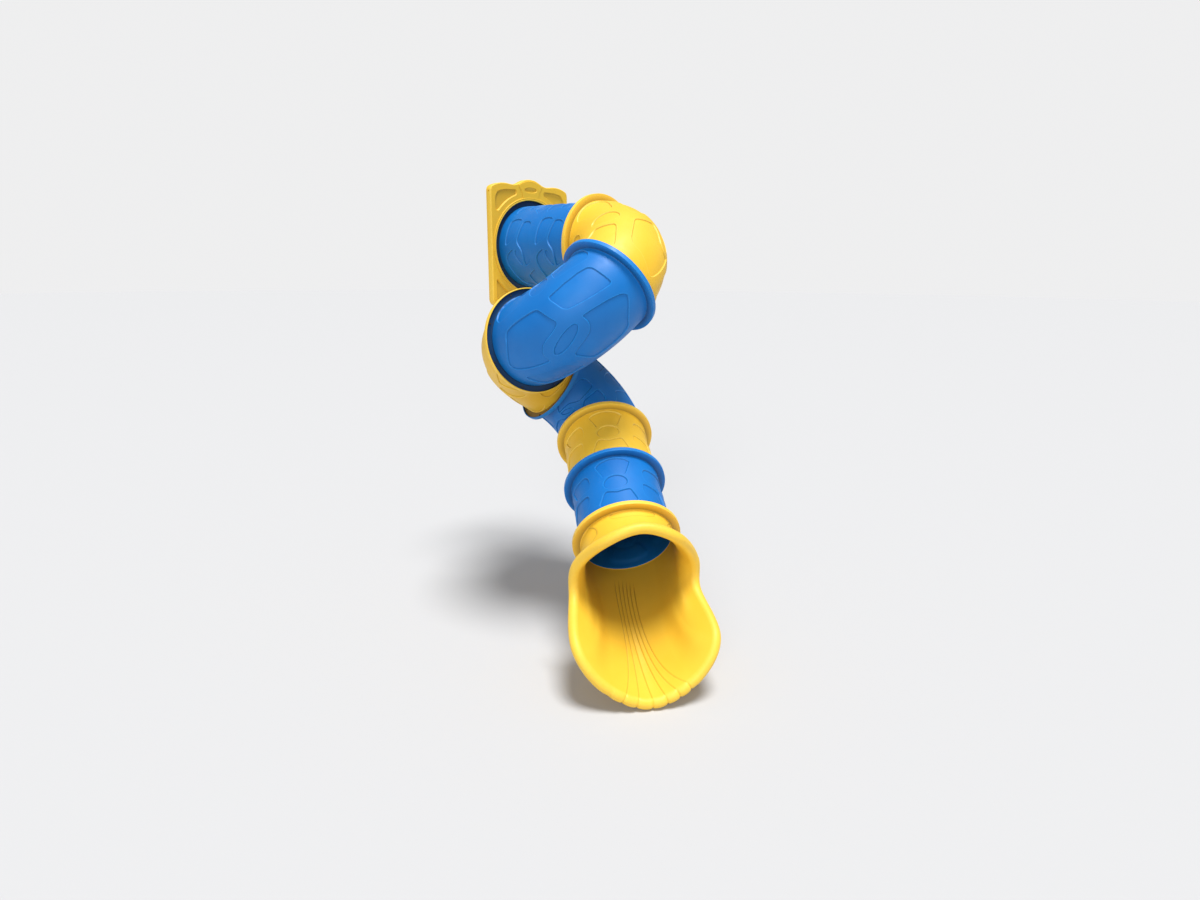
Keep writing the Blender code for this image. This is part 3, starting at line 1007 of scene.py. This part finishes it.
def makeChute(position, travel):
    s, c = section, chute
    frameAt, middle, outward, (ahead, across, side) = chuteSurface(travel)
    piece, bodyStart = collarEnd("exitChute")
    # three long walls for the outer skin, the rolled rim and the inner skin, shaped below
    marks = [bodyStart, 1.0, 2.0, 3.0]
    for start, end, rows in zip(marks, marks[1:], (c["outerRows"], c["beadRows"], c["innerRows"])):
        drawWall(piece, start, end, s["skin"], rows)
    closeWall(piece, [(marks[3], s["skin"]), (s["seat"], s["bore"])])

    places = pointsOf(piece)
    x = places[:, 0].copy()
    radius = np.hypot(places[:, 1], places[:, 2])
    index = np.rint((np.arctan2(places[:, 1], places[:, 2]) / math.tau) * c["around"])
    turn = seatTurns()[index.astype(int) % c["around"]]
    angle = math.pi * turn[:, None]
    shaped = x[:, None] * ahead + radius[:, None] * (np.cos(angle) * across + np.sin(angle) * side)

    def skinAt(face, turn, down, depth):
        # the outer skin of the wall for face 1 and the inner one for face -1, sunk by the depth
        return middle(turn, down) + face * outward(turn, down) * (c["wall"] / 2 - depth)[:, None]

    # outer skin, with its flattened pads
    outer = (x > marks[0] + closeBy) & (x <= marks[1] + closeBy)
    centre = frameAt(turn[outer])[0]
    span = np.linalg.norm(centre - middle(turn[outer], np.zeros(outer.sum())), axis=-1)
    down = (x[outer] - marks[0]) / (marks[1] - marks[0]) * (1.0 - c["outerShort"] / span)
    pads = [(0, c["topPad"]), (c["sidePlace"], c["sidePad"]),
            (-c["sidePlace"], [(-x, y) for x, y in c["sidePad"]])]
    pads = [(place, softCorners(outline, padCorner)) for place, outline in pads]
    pixelsDown = (bodyStart + down * span * c["wallCurve"]) * padScale
    inside = insidePads(turn[outer] * padTurn / 2, pixelsDown, np.ones(outer.sum()), pads)
    depth = smoothStep(inside / s["padEdge"] + 0.5) * c["padDepth"]
    # painted shade along the foot of the pads' edges
    chutePadShade = c["chutePadShade"] * footShade(inside)
    shaped[outer] = skinAt(1, turn[outer], down, depth)

    # rolled rim, scalloped along the lip
    bead = (x > marks[1] + closeBy) & (x <= marks[2] + closeBy)
    centre, run, out = frameAt(turn[bead])
    closing = math.acos((c["rimRadius"] - c["wall"]) / c["rimRadius"])
    around = (math.tau - closing) * (1.0 - (x[bead] - marks[1]) / (marks[2] - marks[1]))
    swell, near = lipLobes(turn[bead])
    lobeMiddle, lobeSpread = c["lobeSide"]
    showing = smoothStep(1.3 - np.abs(around - lobeMiddle) / lobeSpread)
    size = c["rimRadius"] - showing * (c["lobeDepth"] * (1 - swell) + c["notchDepth"] * near)
    shaped[bead] = centre + size[:, None] * (np.sin(around)[:, None] * run - np.cos(around)[:, None] * out)

    # inner skin, with the seat's grooves
    inner = x > marks[2] + closeBy
    down = 1.0 - (x[inner] - marks[2]) / (marks[3] - marks[2])
    depth = np.zeros(inner.sum())
    seat = (turn[inner] > c["seatStrip"][0]) & (turn[inner] < c["seatStrip"][1])
    depth[seat] = grooveDepths(middle, turn[inner][seat], down[seat]) * c["grooveDepth"]
    shaped[inner] = skinAt(-1, turn[inner], down, depth)

    # wear and painted highlight on the collar's rim and the rolled rim
    rim = (radius > s["collar"] - s["rimBand"]) & ~(outer | bead | inner)
    pointValue(piece, "wearAndHighlight", np.where(rim, s["collarWearAndHighlight"], 0.0) + c["rimWearAndHighlight"] * bead)
    # painted shade in the socket, along the pads' feet and in the grooves, with the painted shadow under
    # the hood fading down the seat
    paintedShading = jointPaintedShade(x, radius, [])
    paintedShading[outer] += chutePadShade
    paintedShading[inner] = c["hoodShadow"] * smoothStep(1.0 - down / c["shadeDepth"])
    paintedShading[inner] += c["grooveShade"] * depth / c["grooveDepth"]
    pointValue(piece, "paintedShade", paintedShading)
    movePoints(piece, shaped)
    editAll(piece)
    facesOutward()
    heading = math.atan2(travel.y, travel.x)
    piece.matrix_world = Matrix.Translation(position) @ Matrix.Rotation(heading, 4, "Z")
    applyPlace(piece)
    shadeSmooth(piece)
    return piece


# the chute's collar has as many points as its walls
section["around"] = chute["around"]
exitChute = makeChute(position, travel)
finishPiece(exitChute, "exit_chute", yellow)
print("exit chute ready")

# entrance panel: a slab with a raised ring around the tube, pockets between the ring and the
# corners, and a raised middle; sizes on it are counted from the tube's axis

panel = {
    "around": 600,              # points around the outline and around the ring
    "front": -0.070,
    "halfWidth": 0.480,
    "bottom": -0.555,
    "lowerCorner": 0.060,
    "backEdge": 0.003,          # radius of the slab's edge at the back
    "frontEdge": 0.010,         # and at the front
    "edgeFlat": (0.001, 0.0008),        # the flat drawn beside each of them
    # the right half of the top edge, from the middle of the crown to the side
    "topEdge": [(0.0, 0.628), (0.055, 0.622), (0.100, 0.606), (0.145, 0.585), (0.190, 0.572),
                (0.235, 0.572), (0.280, 0.577), (0.325, 0.578), (0.370, 0.574), (0.412, 0.563),
                (0.442, 0.552), (0.466, 0.537), (0.478, 0.511), (0.480, 0.480)],
    # the ring's section, as (radius, y), from its foot over its ridges into the socket and the hole
    "ring": [(0.4665, -0.0700), (0.4630, -0.0700), (0.4616, -0.0704), (0.4605, -0.0715), (0.4600, -0.0730),
             (0.4594, -0.0754), (0.4584, -0.0770), (0.4566, -0.0778), (0.4548, -0.0780),
             (0.4528, -0.0776), (0.4512, -0.0764), (0.4496, -0.0756), (0.4474, -0.0756),
             (0.4458, -0.0764), (0.4442, -0.0776), (0.4425, -0.0780), (0.4400, -0.0780),
             (0.4377, -0.0775), (0.4357, -0.0762), (0.4344, -0.0743), (0.4340, -0.0720),
             (0.4340, -0.0415), (0.4335, -0.0404), (0.4325, -0.0400), (0.3790, -0.0400),
             (0.3770, -0.0395), (0.3756, -0.0381), (0.3750, -0.0360),
             (0.3750, -0.0040), (0.3756, -0.0019), (0.3770, -0.0005), (0.3790, 0.0)],
    "upperPocket": [(0.425, 0.330), (0.425, 0.452), (0.392, 0.502), (0.300, 0.520), (0.168, 0.524)],
    "upperPocketArc": (0.510, 70.5, 39.0),     # radius, and the angles that its long side runs between
    "lowerPocket": [(0.150, -0.500), (0.432, -0.500), (0.432, -0.300)],
    "lowerPocketArc": (0.520, -36.5, -71.0),
    # a pocket's section, as (how far it is widened, y), from above the slab's face to the floor
    "pocketSection": [(0.0066, -0.0730), (0.0024, -0.0684), (0.0009, -0.0660), (0.0, -0.0635),
                      (-0.0028, -0.0590), (-0.0040, -0.0577), (-0.0058, -0.0568), (-0.0080, -0.0565),
                      (-0.0095, -0.0565)],
    # the right half of the raised middle pad, up to its top
    "middlePad": [(0.090, 0.440), (0.112, 0.511), (0.150, 0.572), (0.096, 0.594), (0.048, 0.610),
                  (0.0, 0.614)],
    "padSection": [(0.0006, -0.0660), (0.0, -0.0722), (-0.0008, -0.0738), (-0.0022, -0.0747),
                   (-0.0040, -0.0750), (-0.0052, -0.0750)],
    "ovalMiddle": (0.0, 0.530),
    "ovalHalf": (0.075, 0.022),
    "ovalSection": [(0.0060, -0.0780), (0.0020, -0.0733), (0.0007, -0.0712), (0.0, -0.0690),
                    (-0.0018, -0.0650), (-0.0032, -0.0638), (-0.0055, -0.0632), (-0.0070, -0.0632)],
    "sideHole": {"height": 0.497, "y": -0.037, "radius": 0.0080, "depth": 0.022, "sides": 40},
    # points around each outline
    "padPoints": 240,
    "pocketPoints": 220,
    "ovalPoints": 120,
    "pocketCorner": 0.016,      # how far along an outline its corners are rounded
    "padCorner": 0.010,
    # the zones of painted shade, and of wear and painted highlight, as the (lowest, highest) of each
    # measure
    "zones": {"socket": {"radius": (0.385, 0.4345), "y": (-0.074, -0.039)},
              "foot": {"radius": (0.4596, 0.4624), "y": (-0.074, -0.069)},
              "pockets": {"radius": (0.49, 1.0), "y": (-0.066, -0.050), "aside": (-1.0, 0.45),
                          "height": (-0.515, 0.535)},
              "ring": {"radius": (0.433, 0.444), "y": (-1.0, -0.074)},
              "slab": {"y": (-0.0699, -0.056)}},
    "edgeAside": 0.463,         # past this to either side the slab counts as edge
    "edgeHeight": 0.54,         # and past this above and below
    # painted shade in the socket, at the ring's foot and in the pockets; wear and painted highlight on the
    # slab's edges and the ring
    "paintedShade": {"socket": 0.9, "foot": 0.3, "pockets": 0.14},
    "wearAndHighlight": {"edges": 0.7, "ring": 0.6},
}


def evenly(points, count):
    # the closed outline again, with equal steps between its points
    points = np.vstack([points, points[:1]])
    lengths = np.concatenate([[0.0], np.cumsum(np.hypot(*np.diff(points, axis=0).T))])
    wanted = np.arange(count) / count * lengths[-1]
    return np.column_stack([np.interp(wanted, lengths, values) for values in points.T])


def softOutline(points, count, reach):
    # rounds every corner by averaging along the outline, over the reach to either side
    points = evenly(np.array(points, dtype=float), count)
    step = np.hypot(*(points[1] - points[0]))
    half = max(1, round(reach / step))
    for repeat in range(2):
        points = sum(np.roll(points, shift, axis=0) for shift in range(-half, half + 1)) / (2 * half + 1)
    return points


def grown(points, distance):
    # the outline moved outward; it runs counter-clockwise seen from the front
    run = np.roll(points, -1, axis=0) - np.roll(points, 1, axis=0)
    run /= np.hypot(run[:, 0], run[:, 1])[:, None]
    return points + distance * np.column_stack([run[:, 1], -run[:, 0]])


def arcPoints(radius, first, last, steps=24):
    angles = np.radians(np.linspace(first, last, steps))
    return [(radius * math.cos(a), radius * math.sin(a)) for a in angles]


def mirrored(points):
    return [(-x, z) for x, z in points][::-1]


def rodAlongX(sides, radius, length, place):
    clearSelection()
    bpy.ops.mesh.primitive_cylinder_add(vertices=sides, radius=radius, depth=length, location=place,
                                        rotation=(0, math.radians(90), 0))
    return settled()


def loftOutlines(name, steps, ringed=False):
    # a body drawn through outlines of equally many points, each at its own y
    # a ringed one closes on itself
    count = len(steps[0][0])
    clearSelection()
    bpy.ops.mesh.primitive_circle_add(vertices=count, radius=1.0, fill_type="NOTHING" if ringed else "NGON",
                                      location=(0, 0, 0), rotation=(math.radians(90), 0, 0))
    piece = settled(name)
    editAll(piece)
    extrude = bpy.ops.mesh.extrude_edges_move if ringed else bpy.ops.mesh.extrude_region_move
    for step in steps[1:]:
        extrude(TRANSFORM_OT_translate={"value": (0, 1, 0)})
    if ringed:
        selectEdges(piece, lambda first, second: abs(first.y - second.y) < 0.1
                    and (abs(first.y) < 0.1 or abs(first.y - len(steps) + 1) < 0.1))
        bpy.ops.mesh.bridge_edge_loops()
    bpy.ops.object.mode_set(mode="OBJECT")
    places = pointsOf(piece)
    index = np.rint(np.arctan2(places[:, 2], places[:, 0]) / math.tau * count).astype(int) % count
    level = np.rint(places[:, 1]).astype(int)
    drawn = np.array([outline for outline, y in steps])[level, index]
    depths = np.array([y for outline, y in steps])
    movePoints(piece, np.column_stack([drawn[:, 0], depths[level], drawn[:, 1]]))
    editAll(piece)
    facesOutward()
    return piece


def joinAll(pieces):
    pickOnly(pieces[0])
    for piece in pieces:
        piece.select_set(True)
    bpy.ops.object.join()
    return pieces[0]


def applyBoolean(piece, tool, operation):
    pickOnly(piece)
    bpy.ops.object.modifier_add(type="BOOLEAN")
    cut = piece.modifiers[-1]
    cut.operation = operation
    cut.solver = "EXACT"
    cut.object = tool
    bpy.ops.object.modifier_apply(modifier=cut.name)
    bpy.data.objects.remove(tool)


def smoothCurve(points, steps=10):
    # a curve through every point, easing from one to the next
    points = [np.array(point) for point in points]
    points = [2 * points[0] - points[1]] + points + [2 * points[-1] - points[-2]]
    curve = [onCurve(*nearby, share) for nearby in zip(points, points[1:], points[2:], points[3:])
             for share in np.arange(steps) / steps]
    return curve + [points[-2]]


def panelOutline():
    # one point on the outline for every point around the ring, at the same angle
    p = panel
    right = [tuple(place) for place in smoothCurve(p["topEdge"])[::-1]]
    reach, low = p["halfWidth"] - p["lowerCorner"], p["bottom"] + p["lowerCorner"]
    lowerLeft = [(-reach + x, low + z) for x, z in arcPoints(p["lowerCorner"], 180, 270)]
    lowerRight = [(reach + x, low + z) for x, z in arcPoints(p["lowerCorner"], 270, 360)]
    dense = evenly(np.array(right + mirrored(right)[1:] + lowerLeft + lowerRight), 10 * p["around"])
    angles = np.arctan2(dense[:, 1], dense[:, 0]) % math.tau
    order = np.argsort(angles)
    wanted = np.arange(p["around"]) / p["around"] * math.tau
    outline = np.column_stack([np.interp(wanted, angles[order], values[order], period=math.tau)
                               for values in dense.T])
    outline[:, 0] = np.clip(outline[:, 0], -p["halfWidth"], p["halfWidth"])
    return outline


def loftSection(name, outline, rows):
    return loftOutlines(name, [(grown(outline, wider), y) for wider, y in rows])


def makePanel(axisHeight):
    p = panel
    outline, back, front = panelOutline(), p["backEdge"], p["frontEdge"]
    backFlat, frontFlat = p["edgeFlat"]
    edges = [(-back - backFlat, 0.0)]
    for turn in np.linspace(0, math.pi / 2, 4):
        edges.append((-back * (1 - math.sin(turn)), -back * (1 - math.cos(turn))))
    for turn in np.linspace(0, math.pi / 2, 7):
        edges.append((-front * (1 - math.cos(turn)), p["front"] + front * (1 - math.sin(turn))))
    edges.append((-front - frontFlat, p["front"]))
    circle = np.array(arcPoints(1.0, 0, 360, p["around"] + 1)[:-1])
    steps = [(grown(outline, wider), y) for wider, y in edges]
    steps += [(circle * radius, y) for radius, y in p["ring"]]
    piece = loftOutlines("entrancePanel", steps, ringed=True)
    pad = softOutline(p["middlePad"] + mirrored(p["middlePad"][:-1]), p["padPoints"], p["padCorner"])
    applyBoolean(piece, loftSection("middlePad", pad, p["padSection"]), "UNION")

    upper = p["upperPocket"] + arcPoints(*p["upperPocketArc"])
    lower = p["lowerPocket"] + arcPoints(*p["lowerPocketArc"])
    tools = []
    for shape in (upper, mirrored(upper), lower, mirrored(lower)):
        pocket = softOutline(shape, p["pocketPoints"], p["pocketCorner"])
        tools.append(loftSection("pocket", pocket, p["pocketSection"]))
    turns = np.arange(p["ovalPoints"]) / p["ovalPoints"] * math.tau
    oval = p["ovalMiddle"] + p["ovalHalf"] * np.column_stack([np.cos(turns), np.sin(turns)])
    tools.append(loftSection("ovalPocket", oval, p["ovalSection"]))
    hole = p["sideHole"]
    for side in (-1, 1):
        place = (side * p["halfWidth"], hole["y"], hole["height"])
        tools.append(rodAlongX(hole["sides"], hole["radius"], 2 * hole["depth"], place))
    applyBoolean(piece, joinAll(tools), "DIFFERENCE")
    editAll(piece)
    bpy.ops.mesh.remove_doubles(threshold=1e-5)
    facesOutward()

    places = pointsOf(piece)
    x, y, z = places.T
    measures = {"radius": np.hypot(x, z), "aside": np.abs(x), "y": y, "height": z}
    zones = {name: np.logical_and.reduce([between(measures[kind], *span) for kind, span in zone.items()])
             for name, zone in p["zones"].items()}
    zones["edges"] = zones["slab"] & ((np.abs(x) > p["edgeAside"]) | (np.abs(z) > p["edgeHeight"]))
    # painted shade, and wear with painted highlight, zone by zone
    for layer in ("paintedShade", "wearAndHighlight"):
        pointValue(piece, layer, sum(amount * zones[name] for name, amount in p[layer].items()))
    movePoints(piece, places + (0.0, 0.0, axisHeight))
    shadeSmooth(piece)
    return piece


entrancePanel = makePanel(route["axisHeight"])
finishPiece(entrancePanel, "entrance_panel", yellow)
print("entrance panel ready")


# bolts: eight hexagon heads with washers on every flange, in the recess of the collar around it

bolt = {
    "circle": 0.413,            # radius that they stand on
    "count": 8,
    "acrossCorners": 0.0150,
    "head": 0.0053,
    "washer": 0.0085,
    "washerSides": 32,
    "washerThick": 0.0016,
    "headEdge": 0.0005,
    "washerEdge": 0.0003,
    # the machined round on the head with its dish, as the (thickness, depth) of insets
    "dish": ((0.0009, 0.0005), (0.0024, 0.0), (0.0006, -0.0004)),
    "headTurn": 0.7,            # each head stands turned by this against the last
    "seatBack": 0.0083,         # the first flange's free face, from the panel's seat
    "flangeBack": 0.0002,       # the other flanges' free face, from the joint
}


def makeBolt():
    # stands along +X, its washer's foot at x = 0
    b = bolt
    thick = b["washerThick"]
    washer = rodAlongX(b["washerSides"], b["washer"], thick, (thick / 2, 0, 0))
    head = rodAlongX(6, b["acrossCorners"] / 2, b["head"], (thick + b["head"] / 2, 0, 0))
    for piece, edge in ((washer, b["washerEdge"]), (head, b["headEdge"])):
        editAll(piece)
        bpy.ops.mesh.normals_make_consistent(inside=False)
        bpy.ops.mesh.select_mode(type="FACE")
        bpy.ops.mesh.select_all(action="DESELECT")
        mesh = bmesh.from_edit_mesh(piece.data)
        max(mesh.faces, key=lambda face: face.calc_center_median().x).select_set(True)
        bmesh.update_edit_mesh(piece.data)
        for thickness, depth in b["dish"] if piece is head else ():
            bpy.ops.mesh.inset(thickness=thickness, depth=depth)
        bpy.ops.mesh.select_mode(type="EDGE")
        bpy.ops.mesh.select_all(action="SELECT")
        bpy.ops.mesh.bevel(offset=edge, segments=2, profile=0.5, affect="EDGES")
        bpy.ops.mesh.select_mode(type="VERT")
        bpy.ops.object.mode_set(mode="OBJECT")
    return joinAll([head, washer])


def boltsAt(name, master, position, travel, foot, heading):
    # one ring of bolts on a flange; heading -1 turns the heads against the way down
    joint = placeFor(position, travel, levelRight(travel))
    flip = Matrix.Rotation(math.pi if heading < 0 else 0.0, 4, "Z")
    copies = []
    for index in range(bolt["count"]):
        copied = copyOf(master, f"{name}_{index}")
        around = Matrix.Rotation(math.tau * (index + 0.5) / bolt["count"], 4, "X")
        copied.matrix_world = (joint @ around @ Matrix.Translation((foot, 0, bolt["circle"])) @ flip
                               @ Matrix.Rotation(index * bolt["headTurn"], 4, "X"))
        applyPlace(copied)
        copies.append(copied)
    ring = joinAll(copies)
    giveName(ring, name)
    shadeSmooth(ring)
    finishPiece(ring, None, steel)


boltMaster = makeBolt()
for number, (place, way) in enumerate(joints):
    foot, heading = (bolt["flangeBack"], -1) if number else (bolt["seatBack"], 1)
    boltsAt(f"jointBolts{number + 1}", boltMaster, place, way, foot, heading)
bpy.data.objects.remove(boltMaster)
print("bolts ready")


# floor, light and camera

stageLook = {
    "floorHeight": cadBox[0].z,
    "floorGap": 0.002,          # the floor lies this far under the object
    "floorRadius": 90.0,
    "floorColour": (0.565, 0.565, 0.57),
    "backdrop": (0.86, 0.86, 0.865),
    "fill": (0.95, 0.97, 1.0),
    "fillStrength": 0.30,
    "topStrength": 3.55,
    "topAngle": 22.0,
    "topFrom": (-0.02, -0.22, 1.0),
    "sideStrength": 1.05,
    "sideAngle": 25.0,
    "sideFrom": (-1.0, -0.70, 0.60),
    "cameraPlace": (-4.76743, -5.81917, 0.31959),
    "cameraTurn": (75.7696, -0.3782, -44.8714),
    "lens": 21.77,
}


def softSun(name):
    comesFrom = Vector(stageLook[name + "From"])
    clearSelection()
    bpy.ops.object.light_add(type="SUN", location=comesFrom.normalized() * 8)
    light = bpy.context.object
    light.name = name + "Light"
    light.data.energy = stageLook[name + "Strength"]
    light.data.angle = math.radians(stageLook[name + "Angle"])
    light.rotation_euler = comesFrom.to_track_quat("Z", "Y").to_euler()


def buildStage():
    clearSelection()
    bpy.ops.mesh.primitive_circle_add(vertices=96, radius=stageLook["floorRadius"], fill_type="NGON",
                                      location=(0, 0, stageLook["floorHeight"] - stageLook["floorGap"]))
    floor = bpy.context.object
    floor.name = "floor"
    material, tree, shader = newMaterial("plain pale floor", {"Roughness": 0.9, "Specular IOR Level": 0.1})
    shader.inputs["Base Color"].default_value = stageLook["floorColour"] + (1.0,)
    floor.data.materials.append(material)

    # the backdrop that shows is paler than the light that it sends out
    world = bpy.data.worlds.new("soft studio")
    world.use_nodes = True
    tree = world.node_tree
    fill = tree.nodes["Background"]
    setInputs(tree, fill, {"Color": stageLook["fill"] + (1.0,), "Strength": stageLook["fillStrength"]})
    backdrop = addNode(tree, "Background", (0, -200),
                       {"Color": stageLook["backdrop"] + (1.0,), "Strength": 1.0})
    path = addNode(tree, "LightPath", (-200, 300))
    either = addNode(tree, "MixShader", (200, 0),
                     {0: path.outputs["Is Camera Ray"], 1: fill.outputs["Background"],
                      2: backdrop.outputs["Background"]})
    setInputs(tree, tree.nodes["World Output"], {"Surface": either.outputs["Shader"]})
    bpy.context.scene.world = world
    softSun("top")
    softSun("side")
    bpy.context.scene.view_settings.view_transform = "Standard"


def buildCamera():
    clearSelection()
    bpy.ops.object.camera_add(location=stageLook["cameraPlace"],
                              rotation=[math.radians(angle) for angle in stageLook["cameraTurn"]])
    camera = bpy.context.object
    camera.name = "photoCamera"
    camera.data.lens = stageLook["lens"]
    camera.data.sensor_width = 36.0
    camera.data.sensor_fit = "HORIZONTAL"
    bpy.context.scene.camera = camera


buildStage()
buildCamera()
print("stage ready")
